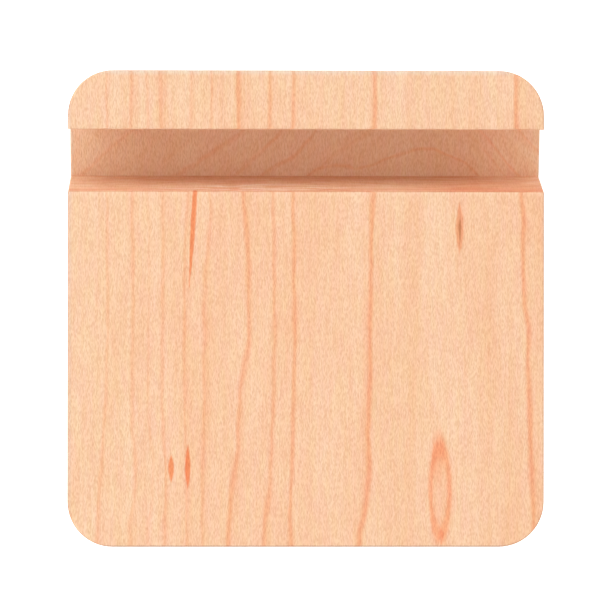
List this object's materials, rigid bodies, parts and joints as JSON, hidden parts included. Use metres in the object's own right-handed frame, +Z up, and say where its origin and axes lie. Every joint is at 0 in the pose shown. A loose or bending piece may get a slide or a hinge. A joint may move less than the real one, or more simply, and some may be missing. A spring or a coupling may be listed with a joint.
{
  "type": "phone stand",
  "caption": "Square wooden block with rounded corners and a slanted slot across its full width that holds a phone leaning back, on small bumper feet.",
  "frame": {"origin": "middle of the block's outline, on the surface that the feet stand on", "axes": "+Z up; -Y towards the user, where the narrow lip and the slot are; +Y towards the rear of the deck; X across the stand, along the slot"},
  "size_m": [0.08, 0.08, 0.0215],
  "materials": {
    "maple": "finely sanded, thin matt oil finish",
    "bumper": "translucent silicone, satin",
    "adhesive": "pale acrylic adhesive disc"
  },
  "bodies": {
    "root": {"block": "maple", "foot_front_left": "bumper", "adhesive_front_left": "adhesive", "foot_front_right": "bumper", "adhesive_front_right": "adhesive", "foot_rear_left": "bumper", "adhesive_rear_left": "adhesive", "foot_rear_right": "bumper", "adhesive_rear_right": "adhesive"}
  },
  "joints": []
}
